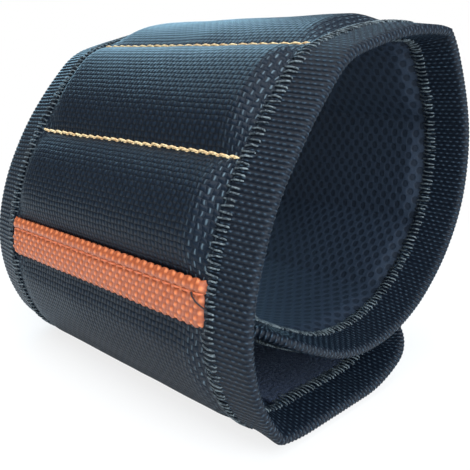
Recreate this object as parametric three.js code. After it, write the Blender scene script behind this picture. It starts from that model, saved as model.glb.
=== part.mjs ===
import * as THREE from 'three';

// A padded magnetic wristband, wrapped into a loop and fastened to itself.
// Millimetres and degrees, +Z up. The loop's axis runs along Y and the flap lies flat on the ground.
// The band is a row of stiff panels that bend against each other at thin webs. From the flap's end
// the row runs left along the ground, up the left side, over the top, down the right side and back
// to the left inside the loop.

// Band and panels along it
const bandWidth = 90;
const endRadius = 12;
const columnWidth = 27.5;
const topColumnWidth = 30.5;
const leftCuffLength = 25.5;
const rightCuffLength = 22;
const tabRootLength = 36;
const hingeGap = 0.8;

// How far each stretch is bent while the band is closed
const groundHeading = 180;
const foldLength = 17;
const leftCuffBend = 41.5;
const columnABend = 20.5;
const columnBBend = 11;
const brinkLength = 8;
const brinkBend = 28;
const columnCBend = 18;
const cornerLength = 9;
const cornerBend = 52.5;
const columnDBend = 18;
const rightCuffBend = 33;
const wallHeading = -152;
const tabRootBend = 53.5;
const tabEndRadius = 240;
const tabRise = 13.2;
const flapEndRadius = 26;
const flapEndBend = 56;

// Layers, measured from the seam between the cover and the lining
const clearance = 0.3;
const seamGap = 0.3;
const coverThickness = 0.9;
const webHalf = 1.2;
const pocketSlack = 0.5;
const cuffCrown = 1.2;
const liningCrown = 2;
const cuffLiningCrown = 1.4;
const coverProud = 0.2;
const fastenerHalf = 2;
const lapGap = 0.4;
const crownPower = 2.6;
const shoulderWidth = 10;

// Edge tape, folded over both faces
const tapeFace = 10;
const tapeThickness = 0.8;
const tapeRimHalf = 1.6;
const tapeMouthHalf = 2;
const tapeBevel = 0.6;

// Strip, magnets and thread
const stripWidth = 9;
const stripThickness = 1.1;
const stripOverlap = 5;
const magnetDiameter = 12;
const magnetThickness = 1.5;
const magnetRowPitch = 18;
const magnetRows = 3;
const threadRadius = 0.45;
const threadInset = 1.5;

// Mesh fineness and the solver's reach
const arcStep = 5;
const bendStep = 13;
const cornerSteps = 5;
const magnetSides = 12;
const threadSides = 6;
const solverSteps = 60;
const steepestFold = 120;
const straightLimit = 1e-9;

const rad = THREE.MathUtils.degToRad;
const halfWidth = bandWidth / 2;
const seamHalf = seamGap / 2;
const edgeInset = tapeThickness + clearance;
const lip = tapeFace + clearance;
const magnetSpan = (magnetRows - 1) * magnetRowPitch + magnetDiameter;
const shoulder = halfWidth - magnetSpan / 2 - clearance;
const flapRest = tapeMouthHalf + coverProud;

const colours = {
  cover: { color: 0x222c38, roughness: 0.75, metalness: 0 },
  lining: { color: 0x1c2436, roughness: 0.9, metalness: 0 },
  tape: { color: 0x2b3138, roughness: 0.7, metalness: 0 },
  fastener: { color: 0x16191f, roughness: 0.95, metalness: 0 },
  strip: { color: 0xcd6842, roughness: 0.7, metalness: 0 },
  thread: { color: 0xd7a55a, roughness: 0.6, metalness: 0 },
  magnet: { color: 0xb9bdc2, roughness: 0.3, metalness: 1 },
};

const wristband = new THREE.Group();

function addPiece(name, colour, geometry) {
  const mesh = new THREE.Mesh(geometry, new THREE.MeshStandardMaterial(colours[colour]));
  mesh.name = name;
  wristband.add(mesh);
  return mesh;
}

// A panel is a chain of arcs that turn clockwise, with its outside to the left of its heading
function makePanel(arcs, start) {
  const pieces = [];
  let { x, z, heading } = start;
  let from = 0;
  for (const { length, bend } of arcs) {
    const piece = { from, length, bend: rad(bend), x, z, heading };
    pieces.push(piece);
    ({ x, z, heading } = alongArc(piece, length));
    from += length;
  }
  return { pieces, length: from, end: { x, z, heading } };
}

function alongArc(arc, distance) {
  const heading = arc.heading - (arc.bend * distance) / arc.length;
  if (Math.abs(arc.bend) < straightLimit) {
    const x = arc.x + distance * Math.cos(heading);
    const z = arc.z + distance * Math.sin(heading);
    return { x, z, heading };
  }
  const radius = arc.length / arc.bend;
  const x = arc.x + radius * (Math.sin(arc.heading) - Math.sin(heading));
  const z = arc.z + radius * (Math.cos(heading) - Math.cos(arc.heading));
  return { x, z, heading };
}

function along(panel, s) {
  const arc = panel.pieces.findLast((piece) => s >= piece.from) ?? panel.pieces[0];
  return alongArc(arc, s - arc.from);
}

function place(panel, s, y, n) {
  const { x, z, heading } = along(panel, s);
  return new THREE.Vector3(x - n * Math.sin(heading), y, z + n * Math.cos(heading));
}

// Places along a panel where its pieces are cut into facets, from one end to the other
function stations(panel, from, to) {
  const list = [from];
  for (const arc of panel.pieces) {
    const start = Math.max(from, arc.from);
    const stop = Math.min(to, arc.from + arc.length);
    const run = stop - start;
    const turn = (THREE.MathUtils.radToDeg(Math.abs(arc.bend)) * run) / arc.length;
    const count = Math.max(Math.ceil(run / arcStep), Math.ceil(turn / bendStep));
    for (let step = 1; step <= count; step += 1) list.push(start + (run * step) / count);
  }
  return list;
}

// Least distance between two panels' seam lines
function distanceBetween(panel, other) {
  const points = stations(other, 0, other.length).map((s) => place(other, s, 0, 0));
  const edges = points.slice(1).map((end, index) => new THREE.Line3(points[index], end));
  const nearest = new THREE.Vector3();
  let least = Infinity;
  for (const s of stations(panel, 0, panel.length)) {
    const point = place(panel, s, 0, 0);
    for (const edge of edges) {
      least = Math.min(least, edge.closestPointToPoint(point, true, nearest).distanceTo(point));
    }
  }
  return least;
}

// Halves the range until the test turns from true to false
function turningPoint(low, high, test) {
  let [inside, outside] = [low, high];
  for (let step = 0; step < solverSteps; step += 1) {
    const middle = (inside + outside) / 2;
    if (test(middle)) inside = middle;
    else outside = middle;
  }
  return inside;
}

// The panels from the fold to the tab's root; the last column turns what the others leave
function wrap(foldBend) {
  const columnA = columnWidth - stripOverlap;
  const leftBends = foldBend + leftCuffBend + columnABend + columnBBend + brinkBend;
  const bends = leftBends + columnCBend + cornerBend + columnDBend;
  const columnEBend = groundHeading - wallHeading - rightCuffBend - bends;
  const rows = {
    cuff_left: [{ length: leftCuffLength, bend: leftCuffBend }],
    column_a: [{ length: columnA, bend: columnABend }],
    column_b: [
      { length: columnWidth - brinkLength, bend: columnBBend },
      { length: brinkLength, bend: brinkBend },
    ],
    column_c: [{ length: topColumnWidth, bend: columnCBend }],
    column_d: [
      { length: cornerLength, bend: cornerBend },
      { length: columnWidth - cornerLength, bend: columnDBend },
    ],
    column_e: [{ length: columnWidth, bend: columnEBend }],
    cuff_right: [{ length: rightCuffLength, bend: rightCuffBend }],
    tab_root: [{ length: tabRootLength, bend: tabRootBend }],
  };
  const chain = {};
  const ground = { x: 0, z: flapRest, heading: rad(groundHeading) };
  let start = makePanel([{ length: foldLength, bend: foldBend }], ground).end;
  for (const [name, arcs] of Object.entries(rows)) {
    chain[name] = makePanel(arcs, start);
    start = chain[name].end;
  }
  return chain;
}

function lowestPoint(panel) {
  return Math.min(...stations(panel, 0, panel.length).map((s) => along(panel, s).z));
}

// The fold turns until the inner tab lies at its height above the ground
const foldBend = turningPoint(0, steepestFold, (bend) => lowestPoint(wrap(bend).tab_root) > tabRise);
const panels = wrap(foldBend);

// The tab's end stops short of the left wall's lining and tape
const wallSpace = webHalf + liningCrown + tapeMouthHalf + clearance;
function tabEnd(length) {
  const bend = THREE.MathUtils.radToDeg(length / tabEndRadius);
  return makePanel([{ length, bend }], panels.tab_root.end);
}
function tabIsClear(length) {
  const tab = tabEnd(length);
  const toCuff = distanceBetween(tab, panels.cuff_left);
  return Math.min(toCuff, distanceBetween(tab, panels.column_a)) > wallSpace;
}
panels.tab_end = tabEnd(turningPoint(endRadius + hingeGap, bandWidth, tabIsClear));

// The flap curls up against the tab at its end, runs along the ground and turns up at the fold
const lapSpace = fastenerHalf + tapeMouthHalf + lapGap;
const flapEndLength = flapEndRadius * rad(flapEndBend);
function flap(baseLength) {
  const curlAndBase = [{ length: flapEndLength, bend: flapEndBend }, { length: baseLength, bend: 0 }];
  const heading = rad(groundHeading + flapEndBend);
  const { x, z } = makePanel(curlAndBase, { x: 0, z: 0, heading }).end;
  const arcs = [...curlAndBase, { length: foldLength, bend: foldBend }];
  return makePanel(arcs, { x: -x, z: flapRest - z, heading });
}
function flapIsClear(baseLength) {
  const trial = flap(baseLength);
  const toRoot = distanceBetween(trial, panels.tab_root);
  return Math.min(toRoot, distanceBetween(trial, panels.cuff_right)) > lapSpace;
}
panels.flap = flap(turningPoint(bandWidth, endRadius, flapIsClear));

// Height of a layer's face over the seam: tucked under the tape, then up to its full height at the magnets
function layerHeight(depth, full) {
  const rim = tapeRimHalf - tapeThickness - clearance;
  const mouth = tapeMouthHalf - tapeThickness - clearance;
  if (depth <= lip) {
    const covered = Math.min(depth, tapeFace);
    return THREE.MathUtils.mapLinear(covered, edgeInset, tapeFace, rim, mouth);
  }
  return mouth + (full - mouth) * THREE.MathUtils.smoothstep(depth, shoulder - shoulderWidth, shoulder);
}

function arch(s, from, to) {
  const across = Math.abs((2 * (s - from)) / (to - from) - 1);
  return Math.max(0, 1 - across ** crownPower);
}

function indexedGeometry(points, faces) {
  const geometry = new THREE.BufferGeometry().setFromPoints(points);
  geometry.setIndex(faces);
  geometry.computeVertexNormals();
  return geometry;
}

function pushQuad(faces, a, b, c, d) {
  faces.push(a, b, c, a, c, d);
}

// A layer between two faces, on a grid of places along the panel and across the band
function gridLayer(panel, lengthwise, across, upper, lower) {
  const points = [];
  const faces = [];
  for (const face of [upper, lower]) {
    for (const s of lengthwise) {
      for (const y of across) points.push(place(panel, s, y, face(s, halfWidth - Math.abs(y))));
    }
  }
  const columns = across.length;
  const rows = lengthwise.length;
  const far = columns - 1;
  const at = (side, i, j) => (side * rows + i) * columns + j;
  for (let i = 0; i + 1 < rows; i += 1) {
    for (let j = 0; j + 1 < columns; j += 1) {
      pushQuad(faces, at(0, i, j), at(0, i + 1, j), at(0, i + 1, j + 1), at(0, i, j + 1));
      pushQuad(faces, at(1, i, j), at(1, i, j + 1), at(1, i + 1, j + 1), at(1, i + 1, j));
    }
    pushQuad(faces, at(1, i, 0), at(1, i + 1, 0), at(0, i + 1, 0), at(0, i, 0));
    pushQuad(faces, at(0, i, far), at(0, i + 1, far), at(1, i + 1, far), at(1, i, far));
  }
  for (let j = 0; j + 1 < columns; j += 1) {
    pushQuad(faces, at(0, 0, j), at(0, 0, j + 1), at(1, 0, j + 1), at(1, 0, j));
    pushQuad(faces, at(1, rows - 1, j), at(1, rows - 1, j + 1), at(0, rows - 1, j + 1), at(0, rows - 1, j));
  }
  return indexedGeometry(points, faces);
}

// The edge of a panel with a rounded end: far or near side, round the end and back along the other side
function roundedEdge(panel, tipAtStart) {
  const trim = hingeGap / 2;
  const side = tipAtStart
    ? stations(panel, endRadius, panel.length - trim).reverse()
    : stations(panel, trim, panel.length - endRadius);
  const sign = tipAtStart ? 1 : -1;
  const centre = tipAtStart ? endRadius : panel.length - endRadius;
  const first = side.map((s) => ({ s, y: sign * halfWidth, ds: 0, dy: -sign }));
  const corner = [];
  for (let step = 1; step <= cornerSteps; step += 1) {
    const angle = (step / cornerSteps) * (Math.PI / 2);
    const ds = sign * Math.sin(angle);
    const dy = -sign * Math.cos(angle);
    corner.push({ s: centre - endRadius * ds, y: sign * (halfWidth - endRadius) - endRadius * dy, ds, dy });
  }
  const half = [...first, ...corner];
  const mirrored = half.map(({ s, y, ds, dy }) => ({ s, y: -y, ds, dy: -dy })).reverse();
  return [...half, ...mirrored];
}

function straightEdge(panel, sign) {
  const list = stations(panel, hingeGap / 2, panel.length - hingeGap / 2);
  const run = sign < 0 ? list : list.reverse();
  return run.map((s) => ({ s, y: sign * halfWidth, ds: 0, dy: -sign }));
}

// A layer of a panel with a rounded end: rings that follow its edge, then strips across its middle
function ringLayer(panel, edge, depths, upper, lower) {
  const points = [];
  const faces = [];
  for (const face of [upper, lower]) {
    for (const { s, y, ds, dy } of edge) {
      for (const depth of depths) points.push(place(panel, s + depth * ds, y + depth * dy, face(depth)));
    }
  }
  const rings = depths.length;
  const last = edge.length - 1;
  const at = (side, i, j) => (side * edge.length + i) * rings + j;
  for (let i = 0; i < last; i += 1) {
    for (let j = 0; j + 1 < rings; j += 1) {
      pushQuad(faces, at(0, i, j), at(0, i + 1, j), at(0, i + 1, j + 1), at(0, i, j + 1));
      pushQuad(faces, at(1, i, j), at(1, i, j + 1), at(1, i + 1, j + 1), at(1, i + 1, j));
    }
    pushQuad(faces, at(1, i, 0), at(1, i + 1, 0), at(0, i + 1, 0), at(0, i, 0));
  }
  const inner = rings - 1;
  for (let i = 0; 2 * i + 1 < last; i += 1) {
    const facing = last - i;
    pushQuad(faces, at(0, i, inner), at(0, i + 1, inner), at(0, facing - 1, inner), at(0, facing, inner));
    pushQuad(faces, at(1, i, inner), at(1, facing, inner), at(1, facing - 1, inner), at(1, i + 1, inner));
  }
  for (let j = 0; j < inner; j += 1) {
    pushQuad(faces, at(0, 0, j), at(0, 0, j + 1), at(1, 0, j + 1), at(1, 0, j));
    pushQuad(faces, at(1, last, j), at(1, last, j + 1), at(0, last, j + 1), at(0, last, j));
  }
  pushQuad(faces, at(0, 0, inner), at(0, last, inner), at(1, last, inner), at(1, 0, inner));
  return indexedGeometry(points, faces);
}

// The tape's folded section, as depth from the band's edge and height over the seam
const tapeSection = [
  [tapeFace, tapeMouthHalf],
  [tapeBevel, tapeRimHalf],
  [0, tapeRimHalf - tapeBevel],
  [0, tapeBevel - tapeRimHalf],
  [tapeBevel, -tapeRimHalf],
  [tapeFace, -tapeMouthHalf],
  [tapeFace, tapeThickness - tapeMouthHalf],
  [tapeThickness, tapeThickness - tapeRimHalf],
  [tapeThickness, tapeRimHalf - tapeThickness],
  [tapeFace, tapeMouthHalf - tapeThickness],
];

function tapeAlong(panel, edge) {
  const points = [];
  const faces = [];
  for (const { s, y, ds, dy } of edge) {
    for (const [depth, n] of tapeSection) points.push(place(panel, s + depth * ds, y + depth * dy, n));
  }
  const sides = tapeSection.length;
  const at = (i, j) => i * sides + (j % sides);
  for (let i = 0; i + 1 < edge.length; i += 1) {
    for (let j = 0; j < sides; j += 1) {
      pushQuad(faces, at(i, j), at(i, j + 1), at(i + 1, j + 1), at(i + 1, j));
    }
  }
  const outline = tapeSection.map(([depth, n]) => new THREE.Vector2(depth, n));
  const lastRow = edge.length - 1;
  for (const [a, b, c] of THREE.ShapeUtils.triangulateShape(outline, [])) {
    faces.push(at(0, a), at(0, c), at(0, b));
    faces.push(at(lastRow, a), at(lastRow, b), at(lastRow, c));
  }
  return indexedGeometry(points, faces);
}

// Places across the band: under the tape, up the shoulder and over the middle
function acrossBand() {
  const near = [edgeInset, tapeFace, lip, (lip + shoulder) / 2, shoulder, (shoulder + halfWidth) / 2];
  const half = near.map((depth) => depth - halfWidth);
  return [...half, 0, ...half.map((y) => -y).reverse()];
}

function coverFaces(crownAt) {
  const upper = (s, depth) => layerHeight(depth, webHalf + crownAt(s));
  const lower = (s, depth) => Math.max(seamHalf, upper(s, depth) - coverThickness);
  return [upper, lower];
}

function liningFaces(crownAt) {
  const upper = () => -seamHalf;
  const lower = (s, depth) => -layerHeight(depth, webHalf + crownAt(s));
  return [upper, lower];
}

function addStraightPanel(name, outerColour, outerName, crownAt, liningCrownAt) {
  const panel = panels[name];
  const rows = stations(panel, hingeGap / 2, panel.length - hingeGap / 2);
  const across = acrossBand();
  addPiece(`${name}_${outerName}`, outerColour, gridLayer(panel, rows, across, ...coverFaces(crownAt)));
  addPiece(`${name}_lining`, 'lining', gridLayer(panel, rows, across, ...liningFaces(liningCrownAt)));
  addPiece(`${name}_tape_near`, 'tape', tapeAlong(panel, straightEdge(panel, -1)));
  addPiece(`${name}_tape_far`, 'tape', tapeAlong(panel, straightEdge(panel, 1)));
}

function addRoundedPanel(name, tipAtStart, outer, inner) {
  const panel = panels[name];
  const edge = roundedEdge(panel, tipAtStart);
  const depths = [edgeInset, tapeFace, lip, (lip + endRadius) / 2];
  const face = (full) => (depth) => (depth > lip ? full : layerHeight(depth, full));
  const below = (full) => (depth) => -face(full)(depth);
  const seam = () => seamHalf;
  const under = () => -seamHalf;
  const outside = ringLayer(panel, edge, depths, face(outer.height), seam);
  const inside = ringLayer(panel, edge, depths, under, below(inner.height));
  addPiece(`${name}_${outer.name}`, outer.colour, outside);
  addPiece(`${name}_${inner.name}`, inner.colour, inside);
  addPiece(`${name}_tape`, 'tape', tapeAlong(panel, edge));
}

// Flap: woven cover outside, hook fastener inside
const coverOutside = { name: 'cover', colour: 'cover', height: flapRest };
addRoundedPanel('flap', true, coverOutside, { name: 'hook', colour: 'fastener', height: fastenerHalf });

// Left cuff, with the strip in a level bed at its upper end
const leftCuff = panels.cuff_left;
const bedStart = leftCuff.length - stripWidth;
const leftCrown = (height) => (s) => height * arch(Math.min(s, bedStart), 0, bedStart);
addStraightPanel('cuff_left', 'cover', 'cover', leftCrown(cuffCrown), leftCrown(cuffLiningCrown));

function addStrip() {
  const rows = stations(leftCuff, bedStart, leftCuff.length - hingeGap / 2);
  const end = halfWidth - lip;
  const bottom = webHalf + clearance;
  const upper = () => bottom + stripThickness;
  addPiece('orange_strip', 'strip', gridLayer(leftCuff, rows, [-end, end], upper, () => bottom));
}
addStrip();

// Magnets lie flat on the lining, near the middle of a column and on the longest of its arcs
const magnetReach = magnetDiameter / 2;
const magnetTop = clearance - seamHalf + magnetThickness;

function magnetBed(panel) {
  return panel.pieces.reduce((longest, piece) => (piece.length > longest.length ? piece : longest));
}

function magnetMiddle(panel) {
  const { from, length } = magnetBed(panel);
  const inset = magnetReach + clearance;
  return THREE.MathUtils.clamp(panel.length / 2, from + inset, from + length - inset);
}

// How high a column's cover stands over its webs to clear the edges of the magnets
function crownOver(panel) {
  const { length, bend } = magnetBed(panel);
  const radius = length / bend;
  const edgeHeight = Math.hypot(radius + magnetTop, magnetReach) - radius;
  const swing = radius * Math.atan(magnetReach / (radius + magnetTop));
  const middle = magnetMiddle(panel);
  const archThere = Math.min(arch(middle - swing, 0, panel.length), arch(middle + swing, 0, panel.length));
  return (edgeHeight + clearance + coverThickness - webHalf) / archThere;
}

function addMagnets(name) {
  const panel = panels[name];
  const middle = magnetMiddle(panel);
  const { heading } = along(panel, middle);
  const outward = new THREE.Vector3(-Math.sin(heading), 0, Math.cos(heading));
  const upright = new THREE.Vector3(0, 1, 0);
  for (let row = 0; row < magnetRows; row += 1) {
    const y = (row - (magnetRows - 1) / 2) * magnetRowPitch;
    const disc = new THREE.CylinderGeometry(magnetReach, magnetReach, magnetThickness, magnetSides);
    const magnet = addPiece(`${name}_magnet_${row + 1}`, 'magnet', disc);
    magnet.position.copy(place(panel, middle, y, magnetTop - magnetThickness / 2));
    magnet.quaternion.setFromUnitVectors(upright, outward);
  }
}

// Thread in the valley at the end of a column
function addStitchLine(name, number) {
  const panel = panels[name];
  const length = bandWidth - 2 * (lip + threadInset);
  const thread = new THREE.CylinderGeometry(threadRadius, threadRadius, length, threadSides);
  const line = addPiece(`stitch_line_${number}`, 'thread', thread);
  line.position.copy(place(panel, panel.length, 0, webHalf + clearance + threadRadius));
}

const columns = ['column_a', 'column_b', 'column_c', 'column_d', 'column_e'];
const columnCrown = Math.max(...columns.map((name) => crownOver(panels[name]))) + pocketSlack;
columns.forEach((name, index) => {
  const { length } = panels[name];
  const crown = (height) => (s) => height * arch(s, 0, length);
  addStraightPanel(name, 'cover', 'cover', crown(columnCrown), crown(liningCrown));
  addMagnets(name);
  addStitchLine(name, index + 1);
});

// Right cuff and the inner tab, with loop fastener on the tab's outside
const rightCrown = (height) => (s) => height * arch(s, 0, panels.cuff_right.length);
addStraightPanel('cuff_right', 'cover', 'cover', rightCrown(cuffCrown), rightCrown(cuffLiningCrown));
const level = () => fastenerHalf - webHalf;
addStraightPanel('tab_root', 'fastener', 'loop', level, level);
const loopOutside = { name: 'loop', colour: 'fastener', height: fastenerHalf };
addRoundedPanel('tab_end', false, loopOutside, { name: 'lining', colour: 'lining', height: fastenerHalf });

// The origin is on the ground, under the middle of the loop
const box = new THREE.Box3().setFromObject(wristband);
wristband.position.set(-(box.min.x + box.max.x) / 2, 0, -box.min.z);

export default wristband;
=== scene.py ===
import bisect
import math
from collections import namedtuple

import bmesh
import bpy
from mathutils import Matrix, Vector, noise


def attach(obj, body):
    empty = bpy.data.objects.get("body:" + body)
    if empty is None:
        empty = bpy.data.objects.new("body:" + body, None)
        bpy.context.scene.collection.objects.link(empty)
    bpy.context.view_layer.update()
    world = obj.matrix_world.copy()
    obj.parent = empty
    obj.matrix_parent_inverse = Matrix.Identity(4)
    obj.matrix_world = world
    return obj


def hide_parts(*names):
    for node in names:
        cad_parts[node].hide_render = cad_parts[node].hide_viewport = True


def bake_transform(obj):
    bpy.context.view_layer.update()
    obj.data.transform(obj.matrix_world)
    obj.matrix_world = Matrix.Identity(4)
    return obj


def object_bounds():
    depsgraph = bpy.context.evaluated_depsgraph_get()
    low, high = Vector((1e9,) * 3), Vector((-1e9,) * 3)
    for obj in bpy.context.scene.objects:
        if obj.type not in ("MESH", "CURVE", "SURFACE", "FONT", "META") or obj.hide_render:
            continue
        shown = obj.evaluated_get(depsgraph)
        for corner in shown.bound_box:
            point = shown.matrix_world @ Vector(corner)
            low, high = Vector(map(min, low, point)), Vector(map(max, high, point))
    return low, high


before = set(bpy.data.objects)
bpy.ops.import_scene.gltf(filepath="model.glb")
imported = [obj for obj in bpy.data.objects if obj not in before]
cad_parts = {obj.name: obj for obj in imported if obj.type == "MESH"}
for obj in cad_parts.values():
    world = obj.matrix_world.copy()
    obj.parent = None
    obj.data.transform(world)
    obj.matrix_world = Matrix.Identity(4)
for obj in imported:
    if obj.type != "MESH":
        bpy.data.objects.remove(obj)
cad_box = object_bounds()

# The band laid out flat, in millimetres and degrees: s runs along it from the flap's tip to the tab's
# tip, y across it, and n is the height over its middle layer, positive on the outside of the loop.
MM = 0.001
HALF_WIDTH = round(cad_box[1][1] / MM, 3)
END_RADIUS = 12.0
FLAP_FACE = 2.2
FLAP_TIP_X = 19.91
FLAP_CURL_RADIUS = 26.0
FLAP_CURL_BEND = 56.0
TAB_END_LENGTH = 19.29
TAB_END_RADIUS = 240.0
# Arcs of the row, each with its length and its bend
FLAP_CURL = (FLAP_CURL_RADIUS * math.radians(FLAP_CURL_BEND), FLAP_CURL_BEND)
FLAP_BASE = (19.28, 0.0)
FLAP_FOLD = (17.0, 61.35)
UPPER_CORNER = (9.0, 52.5)
TAB_END = (TAB_END_LENGTH, math.degrees(TAB_END_LENGTH / TAB_END_RADIUS))
# The panels from the flap to the tab, each a chain of arcs
ROW = (
    ("flap", (FLAP_CURL, FLAP_BASE, FLAP_FOLD)),
    ("cuff_left", ((25.5, 41.5),)),
    ("column_a", ((22.5, 20.5),)),
    ("column_b", ((19.5, 11.0), (8.0, 28.0))),
    ("column_c", ((30.5, 18.0),)),
    ("column_d", (UPPER_CORNER, (18.5, 18.0))),
    ("column_e", ((27.5, 48.15),)),
    ("cuff_right", ((22.0, 33.0),)),
    ("tab_root", ((36.0, 53.5),)),
    ("tab_end", (TAB_END,)),
)
PANELS = [name for name, _ in ROW]
PAIRS = list(zip(PANELS, PANELS[1:]))
COLUMNS = [name for name in PANELS if name.startswith("column")]

# Sizes that several pieces share
WEB = 1.2
TUCK = 0.8
COVER_INSET = 6.0
CLOTH_HALF_WIDTH = HALF_WIDTH - COVER_INSET
CLOTH_STEP = 0.6
UNDERLAP = 3.0
HOOK_END = 45.0
STRIP_RUN = (17.0, 25.6)
LINE_STITCH = 2.85
WEAVE_PITCH = 1.08
RIB_PITCH = 1.05
RIB_DASH = 1.5
BLEND_REACH = 5.0
SHARP_ANGLE = 55.0

Arc = namedtuple("Arc", "start length bend x z heading")


def smooth(low, high, value):
    """0 up to low, 1 from high on and an S-shaped rise between them."""
    share = min(max((value - low) / (high - low), 0.0), 1.0)
    return share * share * (3.0 - 2.0 * share)


def arc_point(arc, run):
    """The place and the heading after a run along an arc."""
    before = math.radians(arc.heading)
    if arc.bend == 0.0:
        return arc.x + run * math.cos(before), arc.z + run * math.sin(before), arc.heading
    after = math.radians(arc.heading - arc.bend * run / arc.length)
    radius = arc.length / math.radians(arc.bend)
    x = arc.x + radius * (math.sin(before) - math.sin(after))
    z = arc.z + radius * (math.cos(after) - math.cos(before))
    return x, z, math.degrees(after)


def lay_row():
    """The arcs from the flap's tip on, and where each panel begins and ends."""
    arcs = []
    spans = {}
    s = 0.0
    x = FLAP_TIP_X
    z = FLAP_FACE + FLAP_CURL_RADIUS * (1.0 - math.cos(math.radians(FLAP_CURL_BEND)))
    heading = 180.0 + FLAP_CURL_BEND
    for name, pieces in ROW:
        first = s
        for length, bend in pieces:
            arcs.append(Arc(s, length, bend, x, z, heading))
            x, z, heading = arc_point(arcs[-1], length)
            s += length
        spans[name] = (first, s)
    return arcs, spans


ARCS, SPANS = lay_row()
ARC_STARTS = [arc.start for arc in ARCS]
PANEL_STARTS = [SPANS[name][0] for name in PANELS]
FLAP_END = SPANS["flap"][1]
TAB_START = SPANS["tab_root"][0]
TOTAL = SPANS["tab_end"][1]
SHARP_ARCS = [arc for arc in ARCS if (arc.length, arc.bend) in (FLAP_FOLD, UPPER_CORNER)]
SEAMS = [SPANS[name][1] for name in COLUMNS]


def place(s, y, n):
    """The point in the closed loop, in metres."""
    arc = ARCS[max(bisect.bisect_right(ARC_STARTS, s) - 1, 0)]
    x, z, heading = arc_point(arc, s - arc.start)
    turn = math.radians(heading)
    return Vector((x - n * math.sin(turn), y, z + n * math.cos(turn))) * MM


def outward(s):
    """The way out of the loop."""
    return place(s, 0.0, 1.0) - place(s, 0.0, 0.0)


def middle(name):
    first, last = SPANS[name]
    return (first + last) / 2


def panel_at(s):
    """The panel at s, the run from its start and its length."""
    name = PANELS[max(bisect.bisect_right(PANEL_STARTS, s) - 1, 0)]
    first, last = SPANS[name]
    return name, s - first, last - first


# Meshes


def add_piece(name, mesh, material):
    mesh.materials.clear()
    mesh.materials.append(material)
    obj = bpy.data.objects.new(name, mesh)
    bpy.context.scene.collection.objects.link(obj)
    return obj


def face_towards(bm, way):
    """Turns a sheet over if its first face looks away from the given way."""
    bm.faces.ensure_lookup_table()
    bm.normal_update()
    if bm.faces[0].normal.dot(way) < 0:
        bmesh.ops.reverse_faces(bm, faces=bm.faces[:])


def finish_sheet(bm, name, material, thickness):
    """Gives the sheet its thickness, inwards, and makes it a smooth-shaded piece."""
    bmesh.ops.solidify(bm, geom=bm.faces[:], thickness=thickness * MM)
    bmesh.ops.recalc_face_normals(bm, faces=bm.faces[:])
    mesh = bpy.data.meshes.new(name)
    bm.to_mesh(mesh)
    bm.free()
    mesh.shade_smooth()
    mesh.set_sharp_from_angle(angle=math.radians(SHARP_ANGLE))
    return add_piece(name, mesh, material)


def cloth_sheet(name, first, last, half, step, height, material, thickness, relief=None, border=None):
    """A length of cloth across the band.

    Its cloth attribute holds y, s and the relief, or else the depth from the band's edge.
    """
    bm = bmesh.new()
    cloth = bm.verts.layers.float_vector.new("cloth")
    bmesh.ops.create_grid(
        bm, x_segments=round((last - first) / step), y_segments=round(2.0 * half / step), size=0.5
    )
    for vert in bm.verts:
        s = first + (vert.co.x + 0.5) * (last - first)
        y = 2.0 * half * vert.co.y
        vert.co = place(s + border(s, y) if border else s, y, height(s, y))
        vert[cloth] = (y, s, relief(s, y) if relief else HALF_WIDTH - abs(y))
    face_towards(bm, outward(first) * height(first, 0.0))
    return finish_sheet(bm, name, material, thickness)


def thread_piece(name, runs, radius, material):
    """Lengths of thread as one mesh."""
    curve = bpy.data.curves.new(name, "CURVE")
    curve.dimensions = "3D"
    curve.bevel_depth = radius * MM
    curve.bevel_resolution = 1
    curve.use_fill_caps = True
    for run in runs:
        spline = curve.splines.new("POLY")
        spline.points.add(len(run) - 1)
        for point, spot in zip(spline.points, run):
            point.co = (*spot, 1.0)
    holder = bpy.data.objects.new(name, curve)
    mesh = bpy.data.meshes.new_from_object(holder)
    mesh.name = name
    bpy.data.objects.remove(holder)
    bpy.data.curves.remove(curve)
    mesh.shade_smooth()
    return add_piece(name, mesh, material)


def join(obj, here):
    """Bakes a piece's place into its mesh. The hinge between a panel and the one that follows it is found but
    not used.
    """
    hinge = SPANS[here][1]
    start = place(hinge - BLEND_REACH, 0.0, 0.0)
    end = place(hinge + BLEND_REACH, 0.0, 0.0)
    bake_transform(obj)


# Nodes


def node(tree, kind, inputs=None, **settings):
    """A shader node, with its inputs linked or set."""
    made = tree.nodes.new("ShaderNode" + kind)
    for key, value in settings.items():
        setattr(made, key, value)
    for key, value in (inputs or {}).items():
        if isinstance(value, bpy.types.NodeSocket):
            tree.links.new(value, made.inputs[key])
        else:
            made.inputs[key].default_value = value
    return made


def calc(tree, operation, *values):
    return node(tree, "Math", dict(enumerate(values)), operation=operation).outputs[0]


def vector_calc(tree, operation, *values):
    return node(tree, "VectorMath", dict(enumerate(values)), operation=operation).outputs[0]


def scale_vector(tree, vector, scale):
    return node(tree, "VectorMath", {0: vector, "Scale": scale}, operation="SCALE").outputs[0]


def vector_length(tree, vector):
    return node(tree, "VectorMath", {0: vector}, operation="LENGTH").outputs["Value"]


def vector_parts(tree, vector):
    return node(tree, "SeparateXYZ", {0: vector}).outputs


def half_wave(tree, turn):
    """A cosine wave between 0 and 1."""
    return calc(tree, "MULTIPLY_ADD", calc(tree, "COSINE", turn), 0.5, 0.5)


def grain(tree, where, scale, detail):
    """Even noise around one half."""
    return node(tree, "TexNoise", {"Vector": where, "Scale": scale, "Detail": detail}).outputs["Fac"]


def ramp(tree, value, low, high, start=0.0, end=1.0):
    """From start to end while the value goes from low to high."""
    return node(tree, "MapRange", {"Value": value, 1: low, 2: high, 3: start, 4: end}).outputs[0]


def blend_colours(tree, factor, first, second):
    inputs = {"Factor": factor, 6: first, 7: second}
    return node(tree, "Mix", inputs, data_type="RGBA").outputs[2]


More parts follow.
